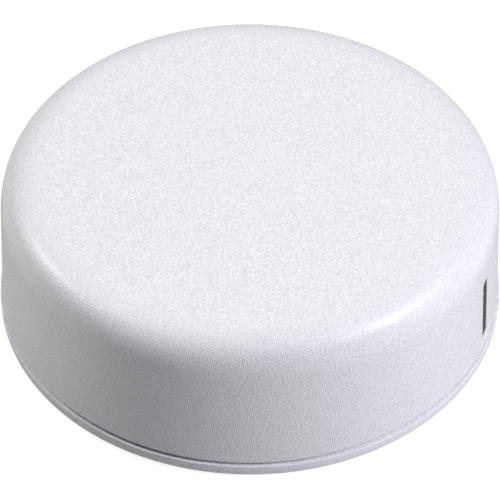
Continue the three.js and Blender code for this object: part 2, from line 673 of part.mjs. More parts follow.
/** Side-pressed switch body, with a well for its plunger. */
function switchBody() {
  const body = block(BUTTON_X, SWITCH_Y, 5.6, SWITCH_DEPTH, PART_Z, 6.5);
  const wellBottom = PLUNGER_BACK_Y - 1.5 * BUTTON_TRAVEL;
  return body.subtract(rodY(BUTTON_X, BUTTON_Z, PLUNGER_R + 0.3, [wellBottom, OUTER_R], 20));
}

add('port_panel', portPanel(), 'dark_plastic');
add('video_socket_shell', videoShell(), 'nickel_steel');
add('video_socket_insert', videoInsert(), 'black_epoxy');
add('network_jack_housing', networkHousing(), 'dark_plastic');
add('network_jack_shield', networkShield(), 'nickel_steel');
add('network_jack_contacts', networkContacts(), 'gold_contact');
add('power_socket_housing', powerHousing(), 'dark_plastic');
const pinEnds = [POWER_HOLE_BACK_Y + SOLDER_GAP, POWER_PIN_TIP_Y];
add('power_socket_pin', rodY(POWER_X, POWER_Z, POWER_PIN_R, pinEnds, 12), 'nickel_steel');
add('pairing_button', buttonCap(), 'pearl_plastic');
add('switch_body', switchBody(), 'black_epoxy');
const plungerEnds = [PLUNGER_BACK_Y, BUTTON_STEM_Y - 0.1];
add('switch_plunger', rodY(BUTTON_X, BUTTON_Z, PLUNGER_R, plungerEnds, 16), 'dark_plastic');

// ---- Window slot and the board behind it --------------------------------------------------

const SENSOR_FACE_Y = -45.6;
const WINDOW_FLANGE_R = [50.4, 51.1];
const WINDOW_FLANGE_Z = [5.9, 23.8];
const WINDOW_FLANGE_HALF = 3.4;

/** Smoked window: a flange behind the cover wall and a tongue that fills the slot. */
function slotWindow() {
  const width = [-WINDOW_FLANGE_HALF, WINDOW_FLANGE_HALF];
  const flange = ring(WINDOW_FLANGE_R, WINDOW_FLANGE_Z).intersect(
    box(width, [-OUTER_R, -OUTER_R / 2], [0, TOP_Z]),
  );
  const gap = 0.2;
  const outline = roundedRectangle(
    0, SLOT_Z, SLOT_WIDTH - 2 * gap, SLOT_HEIGHT - 2 * gap, SLOT_WIDTH / 2 - gap - 0.05,
  );
  const tongue = pushedY(outline, [-OUTER_R, 0.5 - WINDOW_FLANGE_R[1]]);
  const reach = turned([
    [0, COVER_FOOT_Z],
    [COVER_FOOT_R - WINDOW_INSET, COVER_FOOT_Z],
    [SHOULDER_R - WINDOW_INSET, SHOULDER_Z],
    [0, SHOULDER_Z],
  ], ROUND_SEGMENTS);
  return flange.add(tongue.intersect(reach));
}

add('slot_window', slotWindow(), 'smoked_plastic');
add('sensor_board', box([-6, 6], [SENSOR_FACE_Y, SENSOR_FACE_Y + 1], [PART_Z, 21.5]), 'green_board');
add('sensor_header', block(0, SENSOR_FACE_Y + 2.35, 10, 2.5, PART_Z, 2.5), 'black_epoxy');
add('infrared_receiver', block(0, SENSOR_FACE_Y - 1.3, 5.2, 2.4, 13.6, 5.8), 'smoked_plastic');
add('status_led', block(0, SENSOR_FACE_Y - 0.5, 1.6, 0.8, 10.6, 1.6), 'clear_lens');

export default player;
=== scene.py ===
"""Streaming media player: the visual model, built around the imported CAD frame.

A pearl-white puck with a deep cover on a thin base. The window slot faces -Y and the port bay +Y.
Shapes are written in millimetres and become metres as they enter a mesh.
"""
import json
import math

import bmesh
import bpy
from mathutils import Matrix, Vector


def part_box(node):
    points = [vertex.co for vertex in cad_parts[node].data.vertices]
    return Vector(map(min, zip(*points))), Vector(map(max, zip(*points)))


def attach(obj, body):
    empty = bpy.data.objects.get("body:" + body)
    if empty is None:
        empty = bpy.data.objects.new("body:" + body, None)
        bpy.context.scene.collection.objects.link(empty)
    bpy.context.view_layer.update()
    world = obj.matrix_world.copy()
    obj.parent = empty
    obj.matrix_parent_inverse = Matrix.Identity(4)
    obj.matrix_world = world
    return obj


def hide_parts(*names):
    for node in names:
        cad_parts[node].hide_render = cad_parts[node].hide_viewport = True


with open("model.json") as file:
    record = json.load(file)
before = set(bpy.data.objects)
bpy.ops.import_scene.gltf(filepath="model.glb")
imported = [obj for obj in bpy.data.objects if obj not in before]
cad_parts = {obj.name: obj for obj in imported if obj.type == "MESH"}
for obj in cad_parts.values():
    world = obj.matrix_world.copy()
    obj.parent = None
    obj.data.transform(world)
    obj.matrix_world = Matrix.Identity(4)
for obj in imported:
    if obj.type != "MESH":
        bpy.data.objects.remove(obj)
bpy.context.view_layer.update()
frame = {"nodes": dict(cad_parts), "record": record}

MM = 0.001
TAU = 2 * math.pi
ENCLOSURE, BUTTON = "enclosure", "button"


# ---- Sizes -------------------------------------------------------------------------------

def box_mm(node):
    """A CAD node's low and high corners in millimetres."""
    low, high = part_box(node)
    return low / MM, high / MM


BASE_LOW, BASE_HIGH = box_mm("base_tray")
COVER_LOW, COVER_HIGH = box_mm("top_cover")
FOOT_LOW, FOOT_HIGH = box_mm("foot_ring")
PANEL_LOW, PANEL_HIGH = box_mm("port_panel")
WINDOW_LOW, WINDOW_HIGH = box_mm("slot_window")

OUTER_R = BASE_HIGH.x
TOP_Z = COVER_HIGH.z
COVER_FOOT_Z = COVER_LOW.z
COVER_FOOT_R = COVER_HIGH.x
COLUMNS = 256  # columns of faces round the large pieces

# Cover: a slightly tapered wall, a shoulder that is a quarter of a superellipse, and a flat top.
WALL = 2.2
WALL_SLOPE = 0.0517  # how far the wall leans in for each millimetre of height
SHOULDER_WIDTH = 10.2
SHOULDER_HEIGHT = 10
SHOULDER_POWER = 2.8  # 2 is an ellipse, and more is squarer
FOOT_EDGE = 0.25

# Base: a rim, a spigot inside the cover's wall, and a floor with seats for screws and board.
SEAM = 0.65  # height of the gap between the rim and the cover
RIM_TOP_Z = COVER_FOOT_Z - SEAM
SPIGOT_R = 51.9
SPIGOT_WALL = 1.9
SPIGOT_TOP_Z = 5.3
FLOOR_TOP_Z = 2.8
RECESS_R, RECESS_DEPTH = 24, 0.3  # the blank recess in the middle of the underside
FOOT_GROOVE_IN, FOOT_GROOVE_OUT, FOOT_GROOVE_TOP = 43.7, 50.3, 1.5
BOSSES = [(29, 25), (-29, 25), (29, -25), (-29, -25)]
BOSS_R, BOSS_TOP_Z = 3.8, 4.6
STANDOFFS = [(40, 4), (-40, 4), (17, -40), (-17, -40)]
STANDOFF_R, STANDOFF_TOP_Z = 2.6, 7.95
VENT_COUNT, VENT_R, VENT_LENGTH, VENT_WIDTH = 32, 31.5, 5.5, 1.5
VENT_CLEARANCE = 6  # how near a boss a vent may come
SILL_R = 50.5  # the sill closes the foot of the port bay
PANEL_GROOVE_HALF, PANEL_GROOVE_GAP = 24.9, 0.25

# Port bay and sockets.
BAY_HALF_WIDTH = 23.8
PANEL_FACE_Y = 44.5
PANEL_BACK_Y = 42.9
HOOD_LOW_Z = 25.65


# ---- Mesh helpers ------------------------------------------------------------------------

def mesh_object(name, points, faces, body=ENCLOSURE, sharp_degrees=40):
    """A smooth-shaded piece from points in millimetres, riding on a CAD body."""
    mesh = bpy.data.meshes.new(name)
    mesh.from_pydata([tuple(c * MM for c in p) for p in points], [], faces)
    return finish_piece(name, mesh, body, sharp_degrees)


def finish_piece(name, mesh, body=ENCLOSURE, sharp_degrees=40):
    """Closes, orients and shades a mesh in metres, and links it as a piece of the body."""
    edit = bmesh.new()
    edit.from_mesh(mesh)
    bmesh.ops.remove_doubles(edit, verts=edit.verts, dist=0.0005 * MM)
    bmesh.ops.dissolve_degenerate(edit, edges=edit.edges, dist=0.0002 * MM)
    bmesh.ops.recalc_face_normals(edit, faces=edit.faces)
    edit.to_mesh(mesh)
    edit.free()
    mesh.polygons.foreach_set("use_smooth", [True] * len(mesh.polygons))
    mesh.set_sharp_from_angle(angle=math.radians(sharp_degrees))
    piece = bpy.data.objects.new(name, mesh)
    bpy.context.scene.collection.objects.link(piece)
    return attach(piece, body)


def filleted(corners, steps=4):
    """A closed outline from (x, y, radius) corners, each rounded by an arc of that radius."""
    outline = []
    for i, (x, y, radius) in enumerate(corners):
        here = Vector((x, y))
        before = Vector(corners[i - 1][:2]) - here
        after = Vector(corners[(i + 1) % len(corners)][:2]) - here
        if radius <= 0:
            outline.append((x, y))
            continue
        before.normalize()
        after.normalize()
        half = math.acos(max(-1, min(1, before.dot(after)))) / 2
        reach = radius / math.tan(half)
        centre = here + (before + after).normalized() * (radius / math.sin(half))
        start = here + before * reach - centre
        end = here + after * reach - centre
        turn = math.atan2(start.x * end.y - start.y * end.x, start.dot(end))
        for k in range(steps + 1):
            spoke = start.copy()
            spoke.rotate(Matrix.Rotation(turn * k / steps, 2))
            outline.append(tuple(centre + spoke))
    return outline


def turned_mesh(profile, columns=COLUMNS):
    """Points and faces of a closed profile of (radius, z) turned about Z."""
    points = []
    rings = []
    for radius, z in profile:
        if radius < 1e-6:
            points.append((0, 0, z))
            rings.append([len(points) - 1] * columns)
            continue
        ring = []
        for i in range(columns):
            angle = TAU * i / columns
            points.append((radius * math.cos(angle), radius * math.sin(angle), z))
            ring.append(len(points) - 1)
        rings.append(ring)
    faces = []
    for k, ring in enumerate(rings):
        faces += band(ring, rings[(k + 1) % len(rings)])
    return points, faces


def band(ring, other):
    """Faces between two closed rings of the same count, with triangles where points repeat."""
    faces = []
    for i in range(len(ring)):
        j = (i + 1) % len(ring)
        corners = list(dict.fromkeys([ring[i], ring[j], other[j], other[i]]))
        if len(corners) > 2:
            faces.append(corners)
    return faces


def turned(name, profile, **options):
    """A turned piece about Z."""
    points, faces = turned_mesh(profile)
    return mesh_object(name, points, faces, **options)


def turned_y(name, profile, x, z, columns=48, **options):
    """A turned piece about a line along Y through (x, z), from a closed profile of (radius, y)."""
    points, faces = turned_mesh(profile, columns)
    points = [(x + px, pz, z + py) for px, py, pz in points]
    return mesh_object(name, points, faces, **options)


def loft_y(name, rings, **options):
    """A tube through closed rings of (x, z) outlines, each at its own y, closed on itself."""
    points = [(x, y, z) for outline, y in rings for x, z in outline]
    count = len(rings[0][0])
    index = [[k * count + i for i in range(count)] for k in range(len(rings))]
    faces = []
    for k, ring in enumerate(index):
        faces += band(ring, index[(k + 1) % len(index)])
    return mesh_object(name, points, faces, **options)


def plate_mesh(outlines, low, high, edge):
    """A flat plate with holes, its edges rounded, as a mesh in metres between two heights."""
    curve = bpy.data.curves.new("outline", "CURVE")
    curve.dimensions = "2D"
    curve.fill_mode = "BOTH"
    curve.extrude = ((high - low) / 2 - edge) * MM
    curve.bevel_depth = edge * MM
    curve.bevel_resolution = 2
    curve.offset = -edge * MM
    for outline in outlines:
        spline = curve.splines.new("POLY")
        spline.points.add(len(outline) - 1)
        for point, (x, y) in zip(spline.points, outline):
            point.co = (x * MM, y * MM, 0, 1)
        spline.use_cyclic_u = True
    holder = bpy.data.objects.new("outline", curve)
    bpy.context.scene.collection.objects.link(holder)
    bpy.context.view_layer.update()
    mesh = bpy.data.meshes.new_from_object(holder)
    bpy.data.objects.remove(holder)
    bpy.data.curves.remove(curve)
    mesh.transform(Matrix.Translation((0, 0, (low + high) / 2 * MM)))
    return mesh


def plate_y(outlines, low, high, edge=0.15):
    """A plate whose outlines are in (x, z) and whose thickness runs along Y."""
    mesh = plate_mesh([[(x, -z) for x, z in outline] for outline in outlines], low, high, edge)
    mesh.transform(Matrix.Rotation(-math.pi / 2, 4, "X"))
    return mesh


def joined(meshes):
    """One mesh from several closed ones."""
    edit = bmesh.new()
    for mesh in meshes:
        edit.from_mesh(mesh)
        bpy.data.meshes.remove(mesh)
    whole = bpy.data.meshes.new("joined")
    edit.to_mesh(whole)
    edit.free()
    return whole


def rounded_box(x, z, width, height, radius, steps=5):
    """A rounded rectangle outline about a middle point."""
    w, h = width / 2, height / 2
    corners = [(x - w, z - h), (x + w, z - h), (x + w, z + h), (x - w, z + h)]
    return filleted([(cx, cz, radius) for cx, cz in corners], steps)


def circle(x, z, radius, steps=48):
    """A round outline."""
    angles = [TAU * i / steps for i in range(steps)]
    return [(x + radius * math.cos(a), z + radius * math.sin(a)) for a in angles]


def boolean(piece, cutter, operation="DIFFERENCE"):
    """Applies one exact boolean and removes the cutter."""
    modifier = piece.modifiers.new("cut", "BOOLEAN")
    modifier.operation = operation
    modifier.solver = "EXACT"
    modifier.object = cutter
    bpy.context.view_layer.update()
    graph = bpy.context.evaluated_depsgraph_get()
    result = bpy.data.meshes.new_from_object(piece.evaluated_get(graph))
    piece.modifiers.clear()
    piece.data = result
    bpy.data.objects.remove(cutter)
    result.polygons.foreach_set("use_smooth", [True] * len(result.polygons))
    result.set_sharp_from_angle(angle=math.radians(35))


# ---- Materials ---------------------------------------------------------------------------

class Nodes:
    """Short calls for building one material's node tree."""

    def __init__(self, name):
        self.material = bpy.data.materials.new(name)
        self.material.use_nodes = True
        self.tree = self.material.node_tree
        self.shader = self.tree.nodes["Principled BSDF"]
        self.place = self.tree.nodes.new("ShaderNodeTexCoord").outputs["Object"]

    def add(self, kind, settings=(), inputs=()):
        """A node with its settings, and its inputs set to values or linked to sockets."""
        node = self.tree.nodes.new(kind)
        for key, value in dict(settings).items():
            setattr(node, key, value)
        for key, value in dict(inputs).items():
            self.put(node.inputs[key], value)
        return node

    def put(self, socket, value):
        """Links or sets one input."""
        if isinstance(value, bpy.types.NodeSocket):
            self.tree.links.new(value, socket)
        elif socket.type == "RGBA":
            socket.default_value = (*value, 1)
        else:
            socket.default_value = value

    def noise(self, size_mm, detail=2.0, roughness=0.5, stretch=None):
        """Smooth noise whose features are about size_mm across."""
        place = self.place
        if stretch:
            place = self.add("ShaderNodeMapping", inputs={"Vector": place, "Scale": stretch})
            place = place.outputs["Vector"]
        inputs = {"Vector": place, "Scale": 1 / (size_mm * MM), "Detail": detail,
                  "Roughness": roughness}
        return self.add("ShaderNodeTexNoise", inputs=inputs).outputs["Fac"]

    def cells(self, size_mm):
        """A random value for each small cell."""
        inputs = {"Vector": self.place, "Scale": 1 / (size_mm * MM)}
        colour = self.add("ShaderNodeTexVoronoi", inputs=inputs).outputs["Color"]
        return self.add("ShaderNodeSeparateColor", inputs={"Color": colour}).outputs["Red"]

    def span(self, value, low, high, start=0.3, end=0.7):
        """Maps a value between start and end to between low and high."""
        inputs = {"Value": value, "From Min": start, "From Max": end,
                  "To Min": low, "To Max": high}
        return self.add("ShaderNodeMapRange", inputs=inputs).outputs["Result"]

    def blend(self, factor, low, high):
        """Mixes two colours."""
        mix = self.add("ShaderNodeMix", {"data_type": "RGBA"})
        sockets = {socket.identifier: socket for socket in mix.inputs}
        self.put(sockets["Factor_Float"], factor)
        self.put(sockets["A_Color"], low)
        self.put(sockets["B_Color"], high)
        return next(s for s in mix.outputs if s.identifier == "Result_Color")

    def bump(self, height, depth_mm, strength=1.0):
        """Relief of about depth_mm from a height between 0 and 1."""
        inputs = {"Height": height, "Distance": depth_mm * MM, "Strength": strength}
        return self.add("ShaderNodeBump", inputs=inputs).outputs["Normal"]

    def surface(self, **inputs):
        """Sets or links the shader's own inputs, given with _ for each space."""
        for key, value in inputs.items():
            self.put(self.shader.inputs[key.replace("_", " ")], value)
        return self.material


def pearl_plastic():
    """Pearl-white moulding under a thin clear coat: fine grain in tone and relief, tiny flakes."""
    n = Nodes("pearl_plastic")
    speckle = n.span(n.noise(0.26, 1, 0.5), 0, 1, 0.34, 0.66)
    tone = n.blend(speckle, (0.665, 0.67, 0.728), (0.915, 0.915, 0.96))
    flakes = n.span(n.cells(0.2), 0, 0.45, 0.8, 1.0)
    colour = n.blend(flakes, tone, (0.96, 0.96, 0.99))
    relief = n.bump(n.noise(0.29, 1), 0.14)
    rough = n.span(n.noise(0.5, 2), 0.18, 0.26)
    return n.surface(Base_Color=colour, Roughness=rough, Normal=relief,
                     Coat_Weight=0.3, Coat_Roughness=0.26)


def moulded_plastic(name, low, high, roughness, grain_mm=0.3, depth_mm=0.02):
    """Dark moulded plastic with an eroded texture."""
    n = Nodes(name)
    colour = n.blend(n.noise(3, 3), low, high)
    relief = n.bump(n.noise(grain_mm, 3, 0.6), depth_mm, 0.6)
    rough = n.span(n.noise(1.2, 3), roughness - 0.08, roughness + 0.08)
    return n.surface(Base_Color=colour, Roughness=rough, Normal=relief)


def rubber():
    """Matte rubber with a fine grain and a dusty bloom."""
    n = Nodes("black_rubber")
    colour = n.blend(n.noise(2.5, 4, 0.65), (0.012, 0.012, 0.013), (0.032, 0.032, 0.034))
    relief = n.bump(n.noise(0.18, 2), 0.02, 0.7)
    rough = n.span(n.noise(0.8, 2), 0.72, 0.9)
    return n.surface(Base_Color=colour, Roughness=rough, Normal=relief)


def smoked_plastic():
    """Satin infrared-clear plastic that looks almost black."""
    n = Nodes("smoked_plastic")
    colour = n.blend(n.noise(4, 2), (0.006, 0.005, 0.007), (0.014, 0.011, 0.013))
    relief = n.bump(n.noise(1.5, 1), 0.003, 0.3)
    rough = n.span(n.noise(0.7, 3), 0.24, 0.34)
    return n.surface(Base_Color=colour, Roughness=rough, Normal=relief, Specular_IOR_Level=0.25)


def plated_metal(name, low, high, roughness, stretch=(1, 1, 1), grain_mm=0.4):
    """Plated sheet metal: slight streaks in its tone, its gloss and its relief."""
    n = Nodes(name)
    streaks = n.noise(grain_mm, 4, 0.6, stretch)
    colour = n.blend(streaks, low, high)
    relief = n.bump(streaks, 0.004, 0.5)
    rough = n.span(streaks, roughness - 0.07, roughness + 0.09)
    return n.surface(Base_Color=colour, Metallic=1.0, Roughness=rough, Normal=relief)


def circuit_board():
    """Solder mask over faint copper tracks, with the weave of the laminate below."""
    n = Nodes("green_board")
    tracks = n.add("ShaderNodeTexBrick", {"offset": 0.37}, {
        "Vector": n.place, "Scale": 1.0, "Mortar Size": 0.0001, "Brick Width": 0.0031,
        "Row Height": 0.0007, "Mortar Smooth": 0.2})
    mask = n.blend(n.noise(6, 2), (0.008, 0.062, 0.032), (0.014, 0.1, 0.052))
    colour = n.blend(tracks.outputs["Fac"], mask, (0.03, 0.17, 0.08))
    relief = n.bump(tracks.outputs["Fac"], 0.02, 0.6)
    rough = n.span(n.noise(1, 2), 0.28, 0.4)
    return n.surface(Base_Color=colour, Roughness=rough, Normal=relief, Coat_Weight=0.3)


def lens():
    """Clear moulded lens."""
    n = Nodes("clear_lens")
    colour = n.blend(n.noise(1, 2), (0.8, 0.82, 0.74), (0.9, 0.9, 0.84))
    rough = n.span(n.noise(0.5, 2), 0.12, 0.24)
    return n.surface(Base_Color=colour, Roughness=rough, Transmission_Weight=0.35)


MATERIALS = {
    "pearl_plastic": pearl_plastic(),
    "dark_plastic": moulded_plastic("dark_plastic", (0.022, 0.023, 0.026),
                                    (0.034, 0.035, 0.038), 0.55),
    "smoked_plastic": smoked_plastic(),
    "black_rubber": rubber(),
    "zinc_steel": plated_metal("zinc_steel", (0.5, 0.51, 0.54), (0.62, 0.63, 0.64), 0.36),
    "nickel_steel": plated_metal("nickel_steel", (0.58, 0.57, 0.54), (0.7, 0.69, 0.66), 0.24,
                                 (1, 0.15, 1)),
    "bare_aluminium": plated_metal("bare_aluminium", (0.58, 0.59, 0.6), (0.7, 0.71, 0.72), 0.42,
                                   (1, 0.1, 1)),
    "gold_contact": plated_metal("gold_contact", (0.72, 0.47, 0.14), (0.86, 0.6, 0.22), 0.25),
    "green_board": circuit_board(),
    "black_epoxy": moulded_plastic("black_epoxy", (0.01, 0.01, 0.011), (0.02, 0.02, 0.021),
                                   0.62, 0.15, 0.01),
    "grey_pad": moulded_plastic("grey_pad", (0.24, 0.28, 0.33), (0.3, 0.34, 0.39), 0.85),
    "clear_lens": lens(),
}


def paint(piece, slot):
    """Gives a piece one of the materials."""
    piece.data.materials.clear()
    piece.data.materials.append(MATERIALS[slot])


def paint_cad_nodes():
    """Every CAD node takes the detailed material of its slot."""
    for subpart in frame["record"]["subparts"]:
        node = frame["nodes"][subpart["node"]]
        for place in node.material_slots:
            place.material = MATERIALS[subpart["material_slot"]]


# ---- Cover -------------------------------------------------------------------------------

def wall_radius(z):
    """Radius of the cover's outside wall at a height."""
    return COVER_FOOT_R - WALL_SLOPE * (z - COVER_FOOT_Z)


def shoulder_point(angle):
    """How far across and up the shoulder's curve is, each from 0 to 1, at an angle round it."""
    return math.cos(angle) ** (2 / SHOULDER_POWER), math.sin(angle) ** (2 / SHOULDER_POWER)


# The curve starts where it is as steep as the wall.
SHOULDER_START = math.atan((WALL_SLOPE * SHOULDER_HEIGHT / SHOULDER_WIDTH)
                           ** (SHOULDER_POWER / (SHOULDER_POWER - 1) / 2))
START_ACROSS, START_UP = shoulder_point(SHOULDER_START)
SHOULDER_Z = TOP_Z - SHOULDER_HEIGHT
SHOULDER_CORE_R = (wall_radius(SHOULDER_Z + SHOULDER_HEIGHT * START_UP)
                   - SHOULDER_WIDTH * START_ACROSS)
WALL_ROWS = [COVER_FOOT_Z + FOOT_EDGE, 4.75, 8, 11, 14, 17, 20, 22.9, 26.4]
SHOULDER_STEPS = 24
TOP_RINGS = [42, 36, 28, 20, 12, 5]
ARC_STEPS = 6  # steps in each lip and in each half of an opening's corner
FOOT_STEPS = 4  # steps in the rounding of the lower edge

# Openings: which way they face, middle z, half sizes, corner radius, lip radius, and the
# patch of the wall's grid that holds them, in columns each side and in rows.
SLOT_OPENING = {"way": -1, "z": 14.75, "half": (1.25, 8.15), "corner": 0.95, "lip": 0.2,
                "columns": 4, "rows": (1, 8), "fine": (2, 4)}
BAY_OPENING = {"way": 1, "z": 15.5, "half": (BAY_HALF_WIDTH, 10), "corner": 4, "lip": 0.45,
               "columns": 20, "rows": (1, 8), "fine": (1, 4)}


def middle_column(opening):
    """The column of the wall's grid in the middle of an opening."""
    return COLUMNS // 4 if opening["way"] > 0 else 3 * COLUMNS // 4


def opening_outline(opening, grow):
    """Closed outline of (x, z) from the lower left corner round, grown outwards by grow."""
    half_x, half_z = (h + grow for h in opening["half"])
    radius = opening["corner"] + grow
    low_row, high_row = opening["rows"]
    sides = [2 * opening["columns"] * opening["fine"][0],
             (high_row - low_row) * opening["fine"][1]] * 2
    corners = [(-1, -1), (1, -1), (1, 1), (-1, 1)]
    outline = []
    for k, segments in enumerate(sides):
        start, end = Vector(corners[k]), Vector(corners[(k + 1) % 4])
        along = (end - start).normalized()
        first = Vector((start.x * (half_x - radius), start.y * (half_z - radius)))
        last = Vector((end.x * (half_x - radius), end.y * (half_z - radius)))
        outward = Vector((along.y, -along.x))
        straight = segments - 2 * ARC_STEPS
        for i in range(ARC_STEPS):
            angle = math.pi / 4 * (1 - i / ARC_STEPS)
            spoke = outward * math.cos(angle) - along * math.sin(angle)
            outline.append(first + spoke * radius)
        for i in range(straight):
            outline.append(first.lerp(last, i / straight) + outward * radius)
        for i in range(ARC_STEPS):
            angle = math.pi / 4 * i / ARC_STEPS
            spoke = outward * math.cos(angle) + along * math.sin(angle)
            outline.append(last + spoke * radius)
    return [(p.x, opening["z"] + p.y) for p in outline]


class CoverSkin:
    """One side of the cover's shell: the outside, or the inside at a depth of WALL."""

    def __init__(self, points, faces, inset):
        self.points = points
        self.faces = faces
        self.inset = inset
        self.rows = []
        self.lips = []

    def add_ring(self, radius, z):
        """Adds one level ring of points to the skin."""
        ring = []
        for i in range(COLUMNS):
            angle = TAU * i / COLUMNS
            self.points.append((radius * math.cos(angle), radius * math.sin(angle), z))
            ring.append(len(self.points) - 1)
        self.rows.append(ring)
        return ring

    def build(self):
        """The wall, the shoulder and the flat top, with a fitted lip in each opening."""
        for z in WALL_ROWS:
            self.add_ring(wall_radius(z) - self.inset, z)
        wall_top = len(self.rows)
        width = SHOULDER_WIDTH - self.inset
        height = SHOULDER_HEIGHT - self.inset
        for k in range(SHOULDER_STEPS + 1):
            turned_by = (math.pi / 2 - SHOULDER_START) * k / SHOULDER_STEPS
            across, up = shoulder_point(SHOULDER_START + turned_by)
            self.add_ring(SHOULDER_CORE_R + width * across, SHOULDER_Z + height * up)
        for radius in TOP_RINGS:
            self.add_ring(radius, TOP_Z - self.inset)
        for k in range(len(self.rows) - 1):
            for i in range(COLUMNS):
                if k + 1 < wall_top and self.in_opening(k, i):
                    continue
                j = (i + 1) % COLUMNS
                self.faces.append([self.rows[k][i], self.rows[k][j],
                                   self.rows[k + 1][j], self.rows[k + 1][i]])
        self.faces.append(list(self.rows[-1]))
        for opening in (SLOT_OPENING, BAY_OPENING):
            self.lips.append(self.add_opening(opening))

    def in_opening(self, row, column):
        """Whether a face of the wall's grid lies in the patch of an opening."""
        for opening in (SLOT_OPENING, BAY_OPENING):
            middle = middle_column(opening)
            inside = middle - opening["columns"] <= column < middle + opening["columns"]
            if inside and opening["rows"][0] <= row < opening["rows"][1]:
                return True
        return False

    def frame_loop(self, opening):
        """The grid's own points round an opening, from the lower left, seen with +X right."""
        middle = middle_column(opening)
        reach = opening["columns"]
        low_row, high_row = opening["rows"]
        columns = [middle - opening["way"] * k for k in range(-reach, reach + 1)]
        loop = [self.rows[low_row][c] for c in columns[:-1]]
        loop += [self.rows[r][columns[-1]] for r in range(low_row, high_row)]
        loop += [self.rows[high_row][c] for c in reversed(columns[1:])]
        loop += [self.rows[r][columns[0]] for r in range(high_row, low_row, -1)]
        return loop

    def opening_ring(self, opening, grow, depth):
        """A ring of the opening's outline on this skin, sunk by a depth along Y."""
        ring = []
        for x, z in opening_outline(opening, grow):
            radius = wall_radius(z) - self.inset
            y = math.sqrt(radius * radius - x * x) - depth
            self.points.append((x, opening["way"] * y, z))
            ring.append(len(self.points) - 1)
        return ring

    def add_opening(self, opening):
        """Fills the grid's gap with faces that run to the opening, and returns its last ring."""
        lip = 0 if self.inset else opening["lip"]
        ring = self.opening_ring(opening, lip, 0)
        self.join_frame(opening, ring)
        if not lip:
            return ring
        for k in range(1, ARC_STEPS + 1):
            angle = math.pi / 2 * k / ARC_STEPS
            sunk = self.opening_ring(opening, lip * (1 - math.sin(angle)),
                                     lip * (1 - math.cos(angle)))
            self.faces += band(ring, sunk)
            ring = sunk
        return ring

    def join_frame(self, opening, ring):
        """Faces between the coarse frame of the grid and the fine first ring."""
        loop = self.frame_loop(opening)
        low_row, high_row = opening["rows"]
        counts = [(2 * opening["columns"], opening["fine"][0]),
                  (high_row - low_row, opening["fine"][1])] * 2
        coarse = 0
        fine = 0
        for edges, per_edge in counts:
            for _ in range(edges):
                here, there = loop[coarse], loop[(coarse + 1) % len(loop)]
                stretch = [ring[(fine + k) % len(ring)] for k in range(per_edge + 1)]
                half = per_edge // 2
                for k in range(half):
                    self.faces.append([here, stretch[k], stretch[k + 1]])
                if per_edge == 1:
                    self.faces.append([here, stretch[0], stretch[1], there])
                else:
                    self.faces.append([here, stretch[half], there])
                    for k in range(half, per_edge):
                        self.faces.append([there, stretch[k], stretch[k + 1]])
                coarse += 1
                fine += per_edge


def build_cover():
    """The cover's outside and inside skins, joined at the lower edge and in each opening."""
    points, faces = [], []
    outside = CoverSkin(points, faces, 0)
    inside = CoverSkin(points, faces, WALL)
    outside.build()
    inside.build()
    for outer_lip, inner_lip in zip(outside.lips, inside.lips):
        faces.extend(band(outer_lip, inner_lip))
    previous = outside.rows[0]
    foot = CoverSkin(points, faces, 0)
    for k in range(1, FOOT_STEPS + 1):
        angle = math.pi / 2 * k / FOOT_STEPS
        radius = wall_radius(WALL_ROWS[0]) - FOOT_EDGE * (1 - math.cos(angle))
        ring = foot.add_ring(radius, WALL_ROWS[0] - FOOT_EDGE * math.sin(angle))
        faces.extend(band(previous, ring))
        previous = ring
    ring = foot.add_ring(wall_radius(WALL_ROWS[0]) - WALL, COVER_FOOT_Z)
    faces.extend(band(previous, ring))
    faces.extend(band(ring, inside.rows[0]))
    cover = mesh_object("cover_shell", points, faces, sharp_degrees=50)
    paint(cover, "pearl_plastic")
    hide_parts("top_cover")


# ---- Base --------------------------------------------------------------------------------

def build_base():
    """Base tray with a rounded rim, vents, screw wells and a sill in the port bay."""
    low = BASE_LOW.z
    profile = filleted([
        (RECESS_R, low + RECESS_DEPTH, 0.1),
        (RECESS_R + RECESS_DEPTH, low, 0.15),
        (FOOT_GROOVE_IN, low, 0.2),
        (FOOT_GROOVE_IN, FOOT_GROOVE_TOP, 0),
        (FOOT_GROOVE_OUT, FOOT_GROOVE_TOP, 0),
        (FOOT_GROOVE_OUT, low, 0.2),
        (OUTER_R, low, 0.65),
        (OUTER_R, RIM_TOP_Z, 0.2),
        (SPIGOT_R, RIM_TOP_Z, 0.15),
        (SPIGOT_R, SPIGOT_TOP_Z, 0.3),
        (SPIGOT_R - SPIGOT_WALL, SPIGOT_TOP_Z, 0.3),
        (SPIGOT_R - SPIGOT_WALL, FLOOR_TOP_Z, 0),
        (0, FLOOR_TOP_Z, 0),
        (0, low + RECESS_DEPTH, 0),
    ])
    base = turned("base_shell", profile, sharp_degrees=35)
    boolean(base, merged_tools("base_adds", base_additions()), "UNION")
    boolean(base, merged_tools("base_cuts", base_cuts()))
    paint(base, "pearl_plastic")
    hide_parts("base_tray")


def tool(name, points, faces):
    """A plain mesh used only to join or cut."""
    mesh = bpy.data.meshes.new(name)
    mesh.from_pydata([tuple(c * MM for c in p) for p in points], [], faces)
    edit = bmesh.new()
    edit.from_mesh(mesh)
    bmesh.ops.recalc_face_normals(edit, faces=edit.faces)
    edit.to_mesh(mesh)
    edit.free()
    return mesh


def merged_tools(name, meshes):
    """One object that holds several separate closed tools."""
    mesh = joined(meshes)
    holder = bpy.data.objects.new(name, mesh)
    bpy.context.scene.collection.objects.link(holder)
    return holder


def prism(outline, low, high):
    """A closed tool between two heights, from an outline in (x, y)."""
    count = len(outline)
    points = [(x, y, low) for x, y in outline] + [(x, y, high) for x, y in outline]
    faces = band(list(range(count)), list(range(count, 2 * count)))
    faces.append(list(range(count)))
    faces.append(list(range(count, 2 * count)))
    return tool("prism", points, faces)


